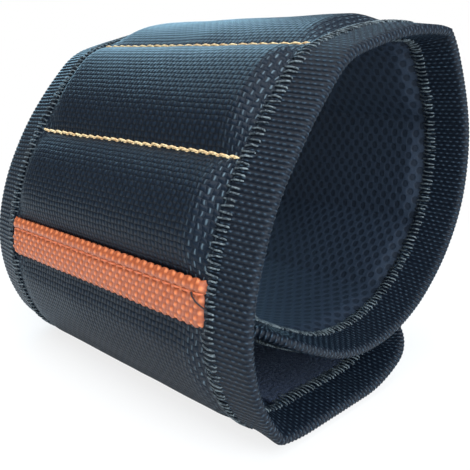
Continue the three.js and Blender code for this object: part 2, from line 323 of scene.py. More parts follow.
def linear(red, green, blue):
    """An sRGB colour, 0 to 255, as Blender's linear one."""
    parts = [part / 255.0 for part in (red, green, blue)]
    return (*[p / 12.92 if p <= 0.04045 else ((p + 0.055) / 1.055) ** 2.4 for p in parts], 1.0)


def new_group(name, outputs):
    """A node group for a cloth, which takes the place on it and the pitch of its yarns."""
    tree = bpy.data.node_groups.new(name, "ShaderNodeTree")
    tree.interface.new_socket("Cloth", in_out="INPUT", socket_type="NodeSocketVector")
    tree.interface.new_socket("Pitch", in_out="INPUT", socket_type="NodeSocketFloat")
    for label in outputs:
        tree.interface.new_socket(label, in_out="OUTPUT", socket_type="NodeSocketFloat")
    return tree, tree.nodes.new("NodeGroupInput"), tree.nodes.new("NodeGroupOutput")


def give(tree, leave, **values):
    """Links the values that a node group gives."""
    for label, value in values.items():
        tree.links.new(value, leave.inputs[label])


def grouped(tree, group, cloth, pitch):
    made = tree.nodes.new("ShaderNodeGroup")
    made.node_tree = group
    tree.links.new(cloth, made.inputs["Cloth"])
    made.inputs["Pitch"].default_value = pitch
    return made.outputs


# Weaves

# Depths from the band's edge: nearer than the first one the cover's yarns drift more than elsewhere and it is
# plainer and carries a painted highlight; the yarns drift most at the second, plainness and highlight are
# full at the third.
EDGE_ZONE_DEPTH = 18.0
LOOSEST_DEPTH = 11.0
EDGE_ZONE_FULL_DEPTH = 13.0
# How far the cover's yarns drift, in the middle and where they are loosest
YARN_DRIFT = (0.5, 1.5)
YARN_FLATNESS = 0.45
WARP_HEIGHT = 0.75
FIBRE_HEIGHT = 0.12
DASH_NARROWNESS = 16.0


def plain_weave_group():
    """Yarns over and under one by one.

    It gives their height, which of the two sets is on top, a slow change of shade, and a narrow dash
    along the top of each warp yarn, which masks a painted highlight.
    """
    tree, entry, leave = new_group("plain_weave", ("Height", "Weft", "Shade", "Dash"))
    cloth = entry.outputs["Cloth"]
    drift = node(tree, "TexNoise", {"Vector": cloth, "Scale": 0.35, "Detail": 2.0}).outputs["Color"]
    loose = ramp(tree, vector_parts(tree, cloth)[2], EDGE_ZONE_DEPTH, LOOSEST_DEPTH, *YARN_DRIFT)
    shift = scale_vector(tree, vector_calc(tree, "MULTIPLY", drift, (1.0, 1.0, 0.0)), loose)
    moved = vector_calc(tree, "ADD", shift, cloth)
    scaled = scale_vector(tree, moved, calc(tree, "DIVIDE", 1.0, entry.outputs["Pitch"]))
    cell = vector_parts(tree, vector_calc(tree, "FLOOR", scaled))
    inside = vector_calc(tree, "SUBTRACT", vector_calc(tree, "FRACTION", scaled), (0.5, 0.5, 0.5))
    spot = vector_parts(tree, inside)
    both = calc(tree, "ADD", cell[0], cell[1])
    weft = calc(tree, "MULTIPLY", calc(tree, "FRACT", calc(tree, "MULTIPLY", both, 0.5)), 2.0)
    warp = calc(tree, "SUBTRACT", 1.0, weft)
    bow_y = calc(tree, "COSINE", calc(tree, "MULTIPLY", spot[0], math.pi))
    bow_s = calc(tree, "COSINE", calc(tree, "MULTIPLY", spot[1], math.pi))
    low_y = calc(tree, "POWER", bow_y, YARN_FLATNESS)
    low_s = calc(tree, "POWER", bow_s, YARN_FLATNESS)
    weft_top = calc(tree, "MULTIPLY", calc(tree, "MULTIPLY", low_y, bow_s), weft)
    warp_top = calc(tree, "MULTIPLY", calc(tree, "MULTIPLY", bow_y, low_s), warp)
    yarns = calc(tree, "ADD", weft_top, calc(tree, "MULTIPLY", warp_top, WARP_HEIGHT))
    fibre = calc(tree, "MULTIPLY", grain(tree, cloth, scale=5.0, detail=3.0), FIBRE_HEIGHT)
    narrow = calc(tree, "POWER", bow_y, DASH_NARROWNESS)
    give(
        tree,
        leave,
        Height=calc(tree, "ADD", yarns, fibre),
        Weft=weft,
        Shade=grain(tree, cloth, scale=0.09, detail=3.0),
        # The dash masks the painted highlight along the warp yarns.
        Dash=calc(tree, "MULTIPLY", narrow, calc(tree, "MULTIPLY", low_s, warp)),
    )
    return tree


RIB_NARROWNESS = 2.6
DASH_ROUNDNESS = 1.6
DASH_SHARE = 0.8
TAPE_FIBRE_HEIGHT = 0.25
# How high worn and full yarns of the tape stand
TAPE_WEAR = (0.45, 1.1)


def ribbed_tape_group():
    """Ribs across a tape, each a row of short yarns that step by half a yarn from rib to rib.

    It gives their height and a slow change of shade.
    """
    tree, entry, leave = new_group("ribbed_tape", ("Height", "Shade"))
    cloth = entry.outputs["Cloth"]
    parts = vector_parts(tree, cloth)
    along = calc(tree, "MULTIPLY", parts[1], 2.0 * math.pi)
    turn = calc(tree, "DIVIDE", along, entry.outputs["Pitch"])
    rib = calc(tree, "POWER", half_wave(tree, turn), RIB_NARROWNESS)
    side = calc(tree, "SIGN", calc(tree, "COSINE", calc(tree, "MULTIPLY", turn, 0.5)))
    across = calc(tree, "MULTIPLY", parts[0], 2.0 * math.pi / RIB_DASH)
    stepped = calc(tree, "MULTIPLY_ADD", side, 0.5 * math.pi, across)
    dash = calc(tree, "POWER", half_wave(tree, stepped), DASH_ROUNDNESS)
    yarn = calc(tree, "MULTIPLY", rib, calc(tree, "MULTIPLY_ADD", dash, DASH_SHARE, 1.0 - DASH_SHARE))
    wear = ramp(tree, grain(tree, cloth, scale=0.9, detail=1.0), 0.35, 0.65, *TAPE_WEAR)
    raised = calc(tree, "MULTIPLY", yarn, wear)
    fibre = grain(tree, cloth, scale=4.0, detail=3.0)
    give(
        tree,
        leave,
        Height=calc(tree, "MULTIPLY_ADD", fibre, TAPE_FIBRE_HEIGHT, raised),
        Shade=grain(tree, cloth, scale=0.15, detail=2.0),
    )
    return tree


# Materials

SHEEN_ROUGHNESS = 0.4
WHITE = (1.0, 1.0, 1.0, 1.0)
# The lining's holes: the cell of each across and along the band, its oval, and the limits of its edge
MESH_CELL = (2.9, 2.0)
MESH_OVAL = (1.5, 0.75)
MESH_HOLE = (0.28, 0.46)
KNIT_HEIGHT = 0.3
# The cover's fading, how plain it is beside the tapes, and the strength of its painted highlight
COVER_FADING = 0.35
COVER_PLAINNESS = 0.85
PAINTED_HIGHLIGHT_STRENGTH = 1.6
# Roughness of the magnets' plating, clean and scuffed
PLATING_ROUGHNESS = (0.18, 0.4)


def new_material(name):
    material = bpy.data.materials.new(name)
    material.use_nodes = True
    tree = material.node_tree
    tree.nodes.clear()
    shader = node(tree, "BsdfPrincipled")
    output = node(tree, "OutputMaterial", {"Surface": shader.outputs[0]})
    output.is_active_output = True
    return material, tree, shader


def cloth_attribute(tree):
    return node(tree, "Attribute", attribute_name="cloth").outputs["Vector"]


def object_place(tree):
    return node(tree, "TexCoord").outputs["Object"]


def set_shader(tree, shader, colour, height, bump, roughness, specular, sheen=0.0, sheen_tint=WHITE):
    """Sets a cloth's or thread's finish. The bump is in millimetres."""
    tree.links.new(colour, shader.inputs["Base Color"])
    relief = node(tree, "Bump", {"Height": height, "Distance": bump * MM, "Strength": 1.0})
    tree.links.new(relief.outputs[0], shader.inputs["Normal"])
    shader.inputs["Roughness"].default_value = roughness
    shader.inputs["Specular IOR Level"].default_value = specular
    shader.inputs["Sheen Weight"].default_value = sheen
    shader.inputs["Sheen Roughness"].default_value = SHEEN_ROUGHNESS
    shader.inputs["Sheen Tint"].default_value = sheen_tint


def cover_material():
    """Coarse plain weave, with a painted highlight on the warp beside the tapes."""
    # The gap colour is painted shade, for the low places between the yarns.
    shaded_gap = linear(9, 15, 23)
    warp = linear(15, 24, 35)
    weft = linear(21, 33, 46)
    # Painted highlight: a light colour along the tops of the warp yarns beside the tapes.
    painted_highlight = linear(94, 111, 121)
    material, tree, shader = new_material("woven_cover")
    cloth = cloth_attribute(tree)
    weave = grouped(tree, PLAIN_WEAVE, cloth, WEAVE_PITCH)
    yarn = blend_colours(tree, weave["Weft"], warp, weft)
    faded = blend_colours(tree, calc(tree, "MULTIPLY", weave["Shade"], COVER_FADING), yarn, weft)
    # Painted shade: the weave's low places take the gap colour.
    woven = blend_colours(tree, ramp(tree, weave["Height"], 0.2, 0.85), shaded_gap, faded)
    beside = ramp(tree, vector_parts(tree, cloth)[2], EDGE_ZONE_DEPTH, EDGE_ZONE_FULL_DEPTH)
    plain = blend_colours(tree, calc(tree, "MULTIPLY", beside, COVER_PLAINNESS), woven, warp)
    # The painted highlight's strength: beside the tapes only, varied by the slow noise.
    painted_highlight_amount = calc(tree, "MULTIPLY", calc(tree, "MULTIPLY", beside, weave["Shade"]), PAINTED_HIGHLIGHT_STRENGTH)
    colour = blend_colours(tree, calc(tree, "MULTIPLY", painted_highlight_amount, weave["Dash"]), plain, painted_highlight)
    set_shader(tree, shader, colour, weave["Height"], bump=0.18, roughness=0.46, specular=0.14)
    return material


def strip_material():
    """Orange cloth, with painted shade between the modelled bumps of its weave and partly painted highlight
    on them.
    """
    material, tree, shader = new_material("woven_orange_strip")
    cloth = cloth_attribute(tree)
    relief = vector_parts(tree, cloth)[2]
    worn = grain(tree, cloth, scale=0.3, detail=3.0)
    fibre = grain(tree, cloth, scale=6.0, detail=3.0)
    # The bumps' tops are partly the cloth's orange and partly painted highlight; the low colours between them
    # are painted shade.
    high = blend_colours(tree, worn, linear(212, 110, 58), linear(228, 136, 88))
    low = blend_colours(tree, worn, linear(146, 66, 32), linear(166, 84, 48))
    colour = blend_colours(tree, ramp(tree, relief, 0.1, 0.9), low, high)
    set_shader(
        tree, shader, colour, fibre,
        bump=0.06, roughness=0.36, specular=0.5, sheen=0.1, sheen_tint=linear(255, 210, 170),
    )
    return material


def tape_material():
    """Ribbed tape, with painted shade between its yarns."""
    material, tree, shader = new_material("edge_tape")
    ribs = grouped(tree, RIBBED_TAPE, cloth_attribute(tree), RIB_PITCH)
    yarn = blend_colours(tree, ribs["Shade"], linear(34, 48, 62), linear(68, 86, 101))
    # Painted shade: the low places between the ribs' yarns take the dark colour.
    colour = blend_colours(tree, ramp(tree, ribs["Height"], 0.2, 0.95), linear(10, 17, 27), yarn)
    set_shader(tree, shader, colour, ribs["Height"], bump=0.26, roughness=0.42, specular=0.17)
    return material


def lining_material():
    """Spacer mesh: oval holes in rows that step by half a hole."""
    material, tree, shader = new_material("spacer_mesh")
    cloth = cloth_attribute(tree)
    scaled = vector_calc(tree, "MULTIPLY", cloth, (1.0 / MESH_CELL[0], 1.0 / MESH_CELL[1], 0.0))
    parts = vector_parts(tree, scaled)
    step = calc(tree, "FRACT", calc(tree, "MULTIPLY", calc(tree, "FLOOR", parts[1]), 0.5))
    across = calc(tree, "SUBTRACT", calc(tree, "FRACT", calc(tree, "ADD", parts[0], step)), 0.5)
    along = calc(tree, "SUBTRACT", calc(tree, "FRACT", parts[1]), 0.5)
    spot = node(tree, "CombineXYZ", {0: across, 1: along}).outputs[0]
    oval = vector_calc(tree, "MULTIPLY", spot, (*MESH_OVAL, 0.0))
    solid = ramp(tree, vector_length(tree, oval), *MESH_HOLE)
    knit = grain(tree, cloth, scale=2.6, detail=3.0)
    height = calc(tree, "MULTIPLY_ADD", knit, KNIT_HEIGHT, solid)
    shade = blend_colours(tree, knit, linear(23, 33, 46), linear(41, 52, 67))
    colour = blend_colours(tree, solid, linear(19, 28, 40), shade)
    set_shader(
        tree, shader, colour, height,
        bump=0.15, roughness=0.7, specular=0.2, sheen=0.05, sheen_tint=linear(120, 160, 190),
    )
    return material


def fastener_material(name, dark, light, scale):
    """Hooks or loops as tufts."""
    material, tree, shader = new_material(name)
    cloth = cloth_attribute(tree)
    tufts = node(tree, "TexVoronoi", {"Vector": cloth, "Scale": scale})
    fuzz = grain(tree, cloth, scale=3.0, detail=4.0)
    height = calc(tree, "SUBTRACT", fuzz, tufts.outputs["Distance"])
    colour = blend_colours(tree, fuzz, dark, light)
    set_shader(
        tree, shader, colour, height,
        bump=0.5, roughness=0.8, specular=0.3, sheen=0.2, sheen_tint=linear(150, 160, 175),
    )
    return material


def thread_material(name, dark, light, roughness, wear=(0.0, 1.0), specular=0.4, sheen=0.1):
    """Sewing thread in two shades, which the range given as wear sets further apart the narrower it is; on
    the tan and grey threads the light shade is a painted highlight.
    """
    material, tree, shader = new_material(name)
    spot = object_place(tree)
    fibre = grain(tree, spot, scale=2600.0, detail=3.0)
    patch = grain(tree, spot, scale=600.0, detail=2.0)
    mixed = calc(tree, "MULTIPLY_ADD", fibre, 0.5, calc(tree, "MULTIPLY", patch, 0.5))
    colour = blend_colours(tree, ramp(tree, mixed, *wear), dark, light)
    set_shader(
        tree, shader, colour, fibre,
        bump=0.08, roughness=roughness, specular=specular, sheen=sheen, sheen_tint=light,
    )
    return material


def magnet_material():
    """Bright plating with faint scuffs."""
    material, tree, shader = new_material("plated_magnet")
    scuff = grain(tree, object_place(tree), scale=900.0, detail=4.0)
    colour = blend_colours(tree, scuff, linear(150, 152, 156), linear(205, 207, 210))
    tree.links.new(colour, shader.inputs["Base Color"])
    tree.links.new(ramp(tree, scuff, 0.0, 1.0, *PLATING_ROUGHNESS), shader.inputs["Roughness"])
    shader.inputs["Metallic"].default_value = 1.0
    return material


PLAIN_WEAVE = plain_weave_group()
RIBBED_TAPE = ribbed_tape_group()
COVER_CLOTH = cover_material()
STRIP_CLOTH = strip_material()
TAPE_CLOTH = tape_material()
LINING_MESH = lining_material()
HOOK_CLOTH = fastener_material("hook_panel", linear(19, 29, 48), linear(46, 59, 84), scale=0.9)
LOOP_CLOTH = fastener_material("loop_panel", linear(14, 17, 22), linear(42, 48, 58), scale=0.6)
# The tan thread's shades are partly its own tan and partly painted light: the cream is a painted highlight
# and the darker brown a painted shade, laid in random patches.
TAN_THREAD = thread_material(
    "tan_thread", linear(176, 116, 54), linear(255, 236, 188), roughness=0.5, wear=(0.3, 0.7), sheen=0.5
)
# The grey thread's light shade is a painted highlight, broken into random patches; the dark shade is its own
# colour.
GREY_THREAD = thread_material(
    "grey_thread", linear(30, 39, 47), linear(110, 120, 124), roughness=0.45, wear=(0.42, 0.62), specular=0.3
)
ORANGE_THREAD = thread_material("orange_thread", linear(168, 76, 42), linear(226, 130, 88), roughness=0.55)
DARK_THREAD = thread_material("dark_thread", linear(8, 9, 12), linear(28, 30, 36), roughness=0.6)
PLATING = magnet_material()


# Cover and lining

COVER_THICKNESS = 0.8
COLUMN_CROWN = 2.95
RIGHT_CUFF_CROWN = 1.2
LEFT_CUFF_CROWN = 0.4
LINING_COLUMN_CROWN = 2.0
LINING_CUFF_CROWN = 1.4
ARCH_POWER = 2.6
STRIP_BED = 1.3
STRIP_BED_SLOPE = 6.0
# Depths from the band's edge between which the cloth rises from the tape to its crown
COVER_RISE = (9.7, 16.0)
LINING_RISE = (9.0, 15.0)
BORDER_SEAT = 1.6
# Unevenness of the cloth: height, size of a swell, run over which it starts, and places in the noise
SWELL = 0.22
SWELL_SIZE = 12.0
SWELL_START = 4.0
COVER_SEED = 0.7
LINING_SEED = 4.1
# Gathers along the thread lines
PUCKER_REACH = 8.0
DIP_DEPTH = 0.12
DIP_WIDTH = 1.3
GATHER_HEIGHT = 0.1
GATHER_WIDTH = 2.2


def arch(share):
    return max(0.0, 1.0 - abs(2.0 * share - 1.0) ** ARCH_POWER)


def swell(s, y, seed):
    return noise.noise(Vector((s / SWELL_SIZE, y / SWELL_SIZE, seed)))


def seam_pucker(s, y):
    """Small gathers where a thread line pulls the cover down."""
    off = min(abs(s - seam) for seam in SEAMS)
    if off > PUCKER_REACH:
        return 0.0
    wave = math.cos(2.0 * math.pi * y / LINE_STITCH)
    dip = -DIP_DEPTH * math.exp(-((off / DIP_WIDTH) ** 2)) * (1.0 + wave)
    return dip + GATHER_HEIGHT * math.exp(-off / GATHER_WIDTH) * wave


def cover_crown(s):
    """The cover's height away from the edges: arched columns, and a flat bed under the strip."""
    name, run, length = panel_at(s)
    if name in COLUMNS:
        return WEB + COLUMN_CROWN * arch(run / length)
    if name == "cuff_right":
        return WEB + RIGHT_CUFF_CROWN * arch(run / length)
    if name == "cuff_left":
        bed = smooth(STRIP_RUN[0] - STRIP_BED_SLOPE, STRIP_RUN[0], run)
        crown = LEFT_CUFF_CROWN * arch(run / STRIP_RUN[0]) * (1.0 - bed)
        return FLAP_FACE + crown + (STRIP_BED - FLAP_FACE) * bed
    if name == "flap":
        return FLAP_FACE
    return WEB


def cover_height(s, y):
    """The cover's height. The flap's cover swells inwards only, as the band lies on it."""
    depth = HALF_WIDTH - abs(y)
    seat = TUCK + (BORDER_SEAT - TUCK) * smooth(COVER_INSET, COVER_RISE[0], depth)
    crown = cover_crown(s)
    uneven = swell(s, y, COVER_SEED)
    if s < FLAP_END:
        crown -= SWELL * abs(uneven)
    else:
        crown += SWELL * uneven * smooth(0.0, SWELL_START, s - FLAP_END) + seam_pucker(s, y)
    return seat + (crown - seat) * smooth(*COVER_RISE, depth)


def lining_height(s, y):
    depth = HALF_WIDTH - abs(y)
    name, run, length = panel_at(s)
    crown = WEB
    if name in COLUMNS:
        crown += LINING_COLUMN_CROWN * arch(run / length)
    elif name != "flap":
        crown += LINING_CUFF_CROWN * arch(run / length)
    crown += SWELL * swell(s, y, LINING_SEED)
    return -TUCK - (crown - TUCK) * smooth(*LINING_RISE, depth)


def make_covers():
    """A cover across each hinge but the last: the tab has the loop panel instead."""
    for here, following in PAIRS[:-1]:
        first = COVER_INSET if here == "flap" else middle(here)
        last = TAB_START + UNDERLAP if following == "tab_root" else middle(following)
        cover = cloth_sheet(
            f"cover_{here}_{following}", first, last, CLOTH_HALF_WIDTH, CLOTH_STEP,
            cover_height, COVER_CLOTH, COVER_THICKNESS,
        )
        join(cover, here)
        if here == "flap":
            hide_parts("flap_cover", "cuff_left_cover")
        elif following != "tab_root":
            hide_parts(f"{following}_cover")


def make_linings():
    """A lining across each hinge. Most of the flap has the hook panel instead."""
    for here, following in PAIRS:
        first = HOOK_END - UNDERLAP if here == "flap" else middle(here)
        last = TOTAL - COVER_INSET if following == "tab_end" else middle(following)
        lining = cloth_sheet(
            f"lining_{here}_{following}", first, last, CLOTH_HALF_WIDTH, CLOTH_STEP,
            lining_height, LINING_MESH, COVER_THICKNESS,
        )
        join(lining, here)
        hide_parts(f"{following}_lining")


# Lap fasteners

FASTENER_FACE = 1.9
FASTENER_THICKNESS = 0.7
# Depths from the band's edge between which a panel rises to its face
FASTENER_RISE = (8.0, 11.5)
FASTENER_SWELL = 0.12
FASTENER_SEED = 8.3
LOOP_GAP = 0.6


def fastener_height(s, y, side):
    """The height of the hook panel (side -1) or the loop panel (side 1)."""
    depth = min(HALF_WIDTH - abs(y), s, TOTAL - s)
    face = FASTENER_FACE - FASTENER_SWELL * abs(swell(2.0 * s, 2.0 * y, FASTENER_SEED))
    return side * (TUCK + (face - TUCK) * smooth(*FASTENER_RISE, depth))


def hook_height(s, y):
    return fastener_height(s, y, -1.0)


def loop_height(s, y):
    return fastener_height(s, y, 1.0)


def make_hook_panel():
    hook = cloth_sheet(
        "hook_panel", COVER_INSET, HOOK_END, CLOTH_HALF_WIDTH, CLOTH_STEP,
        hook_height, HOOK_CLOTH, FASTENER_THICKNESS,
    )
    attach(hook, "flap")
    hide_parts("flap_hook")


def make_loop_panel():
    first = TAB_START + LOOP_GAP
    last = TOTAL - COVER_INSET
    loop = cloth_sheet(
        "loop_panel", first, last, CLOTH_HALF_WIDTH, CLOTH_STEP,
        loop_height, LOOP_CLOTH, FASTENER_THICKNESS,
    )
    join(loop, "tab_root")
    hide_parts("tab_root_loop", "tab_end_loop")


# Edge tape

TAPE_DEPTH = 10.0
TAPE_RIM = 1.1
TAPE_FACE = 2.0
TAPE_THICKNESS = 0.7
TAPE_WIDTH = 2.0 * (TAPE_DEPTH - TAPE_RIM) + math.pi * TAPE_RIM
TAPE_STEP = 0.22
TAPE_SECTION_STEPS = 24
RIB_HEIGHT = 0.15
TAPE_WAVE = 0.2
TAPE_WAVE_SIZE = 11.0
TAPE_SEED = 5.2
TAPE_SIDE_SEED = 3.7
# How sharp the creases of the near rim are, and the depths between which they fade out
CREASE = 0.5
CREASE_FADE = (0.5, 7.5)


def side_run(first, last, side):
    """Along one edge, from s first to s last: s and y there, the way inwards, and the ribs' phase."""
    def at(u):
        return first + u, side * HALF_WIDTH, 0.0, -side, first + u

    return at, last - first


def end_run(tip, away, far):
    """Along one edge to the end of the band, round its corners and back along the other edge."""
    straight = abs(far - tip) - END_RADIUS
    corner = END_RADIUS * math.pi / 2.0
    total = 2.0 * (straight + corner + HALF_WIDTH - END_RADIUS)

    def at(u):
        side = -1.0 if u < total / 2.0 else 1.0
        run = min(u, total - u)
        phase = far - away * run
        if run < straight:
            return phase, side * HALF_WIDTH, 0.0, -side, phase
        if run < straight + corner:
            turn = (run - straight) / END_RADIUS
            back = END_RADIUS * (1.0 - math.sin(turn))
            y = HALF_WIDTH - END_RADIUS * (1.0 - math.cos(turn))
            return tip + away * back, side * y, away * math.sin(turn), -side * math.cos(turn), phase
        y = HALF_WIDTH - END_RADIUS - (run - straight - corner)
        return tip, side * y, away, 0.0, phase

    return at, total


def tape_height(depth):
    """The height of the tape's face at a depth from the band's edge."""
    return TAPE_FACE + (TAPE_RIM - TAPE_FACE) * (TAPE_DEPTH - depth) / (TAPE_DEPTH - TAPE_RIM)


def tape_section(share):
    """Depth and height on the folded tape, from its outer border round the rim, and the way out of it."""
    face = TAPE_DEPTH - TAPE_RIM
    run = share * TAPE_WIDTH
    if share > 0.5:
        depth, n, out_depth, out_n = tape_section(1.0 - share)
        return depth, -n, out_depth, -out_n
    if run < face:
        return TAPE_DEPTH - run, tape_height(TAPE_DEPTH - run), 0.0, 1.0
    turn = (run - face) / TAPE_RIM
    return TAPE_RIM * (1.0 - math.sin(turn)), TAPE_RIM * math.cos(turn), -math.sin(turn), math.cos(turn)


def tape_wave(s, y, phase):
    """The tape's slow wave between the flap and the tab, which lie flat."""
    if not FLAP_END < s < TAB_START:
        return 0.0
    side = math.copysign(1.0, y)
    return TAPE_WAVE * noise.noise(Vector((phase / TAPE_WAVE_SIZE, side * TAPE_SIDE_SEED, TAPE_SEED)))


def corner_lift(s, y, depth):
    """The near rim is creased at the flap's fold and at the upper corner of the loop."""
    if y > 0.0:
        return 0.0
    for arc in SHARP_ARCS:
        run = min(s - arc.start, arc.start + arc.length - s)
        if run > 0.0:
            radius = arc.length / math.radians(arc.bend) + TAPE_FACE
            sharp = radius * (1.0 / math.cos(math.radians(arc.bend * run / arc.length)) - 1.0)
            return CREASE * sharp * (1.0 - smooth(*CREASE_FADE, depth))
    return 0.0


def tape_piece(name, run):
    """A length of tape. Its cloth attribute holds the run across the tape, the ribs' phase and the depth."""
    at, length = run
    bm = bmesh.new()
    cloth = bm.verts.layers.float_vector.new("cloth")
    bmesh.ops.create_grid(
        bm, x_segments=round(length / TAPE_STEP), y_segments=TAPE_SECTION_STEPS, size=0.5
    )
    for vert in bm.verts:
        s, y, ds, dy, phase = at((vert.co.x + 0.5) * length)
        share = vert.co.y + 0.5
        depth, n, out_depth, out_n = tape_section(share)
        rib = RIB_HEIGHT * (math.cos(2.0 * math.pi * phase / RIB_PITCH) - 1.0) / 2.0
        depth += rib * out_depth
        n += rib * out_n + tape_wave(s, y, phase) + corner_lift(s, y, depth)
        vert.co = place(s + ds * depth, y + dy * depth, n)
        vert[cloth] = (share * TAPE_WIDTH, phase, depth)
    face_towards(bm, outward(at(0.0)[0]))
    tape = finish_sheet(bm, name, TAPE_CLOTH, TAPE_THICKNESS)
    return tape


# Border stitches

BORDER_PITCH = 2.2
BORDER_RADIUS = 0.19
BORDER_LIFT = 0.12
# One loop of the border stitches: share of the pitch, depth from the band's edge, height over the face
BORDER_LOOP = (
    (0.0, 10.9, 0.0),
    (0.03, 9.4, 0.1),
    (0.06, 8.1, 0.0),
    (0.14, 7.9, -0.6),
    (0.38, 7.9, -0.6),
    (0.46, 8.1, 0.0),
    (0.49, 9.4, 0.1),
    (0.52, 10.9, 0.0),
    (0.62, 11.1, -0.5),
    (0.9, 11.1, -0.5),
)
# How far the stitches stray along the tape and across it, and the run and the depth of one stray
STRAY_ALONG = 0.25
STRAY_ACROSS = 0.5
STRAY_RUN = 1.3
STRAY_DEPTH = 0.5
STRAY_SIDE_SEED = 3.1
STRAY_SEED = Vector((7.0, 0.0, 0.0))
# The stitches lie on the tape to a little past its border, and stay on it beside the strip
TAPE_BORDER_EASE = 0.4
STRIP_MARGIN = 0.8
STRIP_CLEARANCE = 0.3
GROUND_CLEARANCE = 0.03


def outer_face(s, y):
    return cover_height(s, y) if s < TAB_START else loop_height(s, y)


def inner_face(s, y):
    return hook_height(s, y) if s < HOOK_END else lining_height(s, y)


def beside_strip(s):
    return STRIP_RUN[0] - STRIP_MARGIN < s - FLAP_END < STRIP_RUN[1] + STRIP_MARGIN


def border_row(run, side):
    """Loops of thread from the cloth over the tape's border and back, one after the other."""
    at, length = run
    face = outer_face if side > 0 else inner_face
    count = round(length / BORDER_PITCH)
    points = []
    for stitch in range(count):
        for share, deep, lift in BORDER_LOOP:
            u = length * (stitch + share) / count
            stray = Vector((u / STRAY_RUN, deep / STRAY_DEPTH, side * STRAY_SIDE_SEED))
            u += STRAY_ALONG * noise.noise(stray)
            deep += STRAY_ACROSS * noise.noise(stray + STRAY_SEED)
            s, y, ds, dy, phase = at(min(max(u, 0.0), length))
            if side > 0 and beside_strip(s):
                deep = min(deep, TAPE_DEPTH - STRIP_CLEARANCE)
            n = face(s + ds * deep, y + dy * deep)
            if deep < TAPE_DEPTH + TAPE_BORDER_EASE:
                tape = tape_height(min(deep, TAPE_DEPTH)) + side * tape_wave(s, y, phase)
                n = side * max(side * n, tape)
            n += side * (lift + BORDER_LIFT)
            if s < FLAP_END:
                n = min(n, FLAP_FACE - BORDER_RADIUS - GROUND_CLEARANCE)
            points.append(place(s + ds * deep, y + dy * deep, n))
    return points


def edge_runs(here, following):
    """The lengths of tape across one hinge: where each lies, its run and the solids that it replaces."""
    if here == "flap":
        solids = ("flap_tape", "cuff_left_tape_near", "cuff_left_tape_far")
        return [("round", end_run(0.0, 1.0, middle(following)), solids)]
    if following == "tab_end":
        return [("round", end_run(TOTAL, -1.0, middle(here)), ("tab_end_tape",))]
    first, last = middle(here), middle(following)
    return [
        (where, side_run(first, last, side), (f"{following}_tape_{where}",))
        for where, side in (("near", -1.0), ("far", 1.0))
    ]


def make_edges():
    for here, following in PAIRS:
        for where, run, solids in edge_runs(here, following):
            spot = f"{where}_{here}_{following}"
            tape = tape_piece(f"tape_{spot}", run)
            join(tape, here)
            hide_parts(*solids)
            rows = [border_row(run, 1.0), border_row(run, -1.0)]
            stitches = thread_piece(f"border_stitches_{spot}", rows, BORDER_RADIUS, GREY_THREAD)
            join(stitches, here)


# Strip

STRIP_FACE = 2.3
STRIP_THICKNESS = 0.7
STRIP_HALF_LENGTH = 36.0
STRIP_STEP = 0.2
STRIP_FIRST = FLAP_END + STRIP_RUN[0]
STRIP_LAST = FLAP_END + STRIP_RUN[1]
# The upper edge folded over: its width, its step, the ease of the step, and the groove of its seam
HEM = 2.5
HEM_STEP = 0.35
HEM_EASE = 0.4
SEAM_GROOVE = 0.3
# The long edges roll down, the ends dip between two distances from the middle, and the cloth sags
ROLL_DEPTH = 0.5
ROLL_WIDTH = 1.1
END_DIP = 1.1
END_DIP_SPAN = (33.4, 35.4)
SAG = 0.25
SAG_RUN = 6.0
SAG_LENGTH = 14.0
SAG_SEED = 2.4
# Bumps of the weave: their height on the strip and on its hem, how blunt a weft yarn's bump is across
# and along the band, and how high and blunt the warp between them is
STRIP_BUMP = 0.36
HEM_BUMP = 0.18
WEFT_BLUNTNESS = (0.8, 0.9)
LOW_WARP_HEIGHT = 0.25
LOW_WARP_BLUNTNESS = 0.5
# How far yarns stand out at the lower edge, the share of it at the folded edge, and the run of both
YARN_END = 0.22
FOLDED_YARN_SHARE = 0.6
YARN_END_RUN = 0.9
# The hem's seam: stitches, length of one, and its bow as shares of its length and heights over the strip
SEAM_STITCHES = 24
SEAM_HALF_LENGTH = 34.0
SEAM_STITCH = 2.3
SEAM_RADIUS = 0.22
SEAM_BOW = ((0.0, -0.1), (0.2, 0.3), (0.5, 0.42), (0.8, 0.3), (1.0, -0.1))
# The loose thread end: distance below the strip's upper edge, y, height over the strip's face
THREAD_END = ((2.5, -31.8, 0.2), (3.0, -32.6, 0.65), (3.7, -33.6, 0.6), (4.3, -34.5, 0.2), (4.9, -35.4, -0.4))
THREAD_END_RADIUS = 0.16


def strip_relief(s, y):
    """Plain weave seen from above: round weft bumps, with the warp low between them."""
    u = y / WEAVE_PITCH
    v = s / WEAVE_PITCH
    bow_u = abs(math.cos(math.pi * (u - math.floor(u) - 0.5)))
    bow_v = abs(math.cos(math.pi * (v - math.floor(v) - 0.5)))
    if (math.floor(u) + math.floor(v)) % 2:
        return bow_u ** WEFT_BLUNTNESS[0] * bow_v ** WEFT_BLUNTNESS[1]
    return LOW_WARP_HEIGHT * bow_u * bow_v ** LOW_WARP_BLUNTNESS


def strip_height(s, y):
    """The strip's upper part is folded over and stitched down, and its ends dip under the tapes."""
    run = s - FLAP_END
    hem = STRIP_RUN[1] - HEM
    fold = HEM_STEP * smooth(hem, hem + HEM_EASE, run)
    groove = -SEAM_GROOVE * math.exp(-(((run - hem) / HEM_EASE) ** 2))
    edge = min(run - STRIP_RUN[0], STRIP_RUN[1] - run)
    roll = -ROLL_DEPTH * (1.0 - smooth(0.0, ROLL_WIDTH, edge))
    dip = -END_DIP * smooth(*END_DIP_SPAN, abs(y))
    sag = SAG * noise.noise(Vector((s / SAG_RUN, y / SAG_LENGTH, SAG_SEED)))
    bump = strip_relief(s, y) * (STRIP_BUMP if run < hem else HEM_BUMP)
    return STRIP_FACE + fold + groove + roll + dip + sag + bump


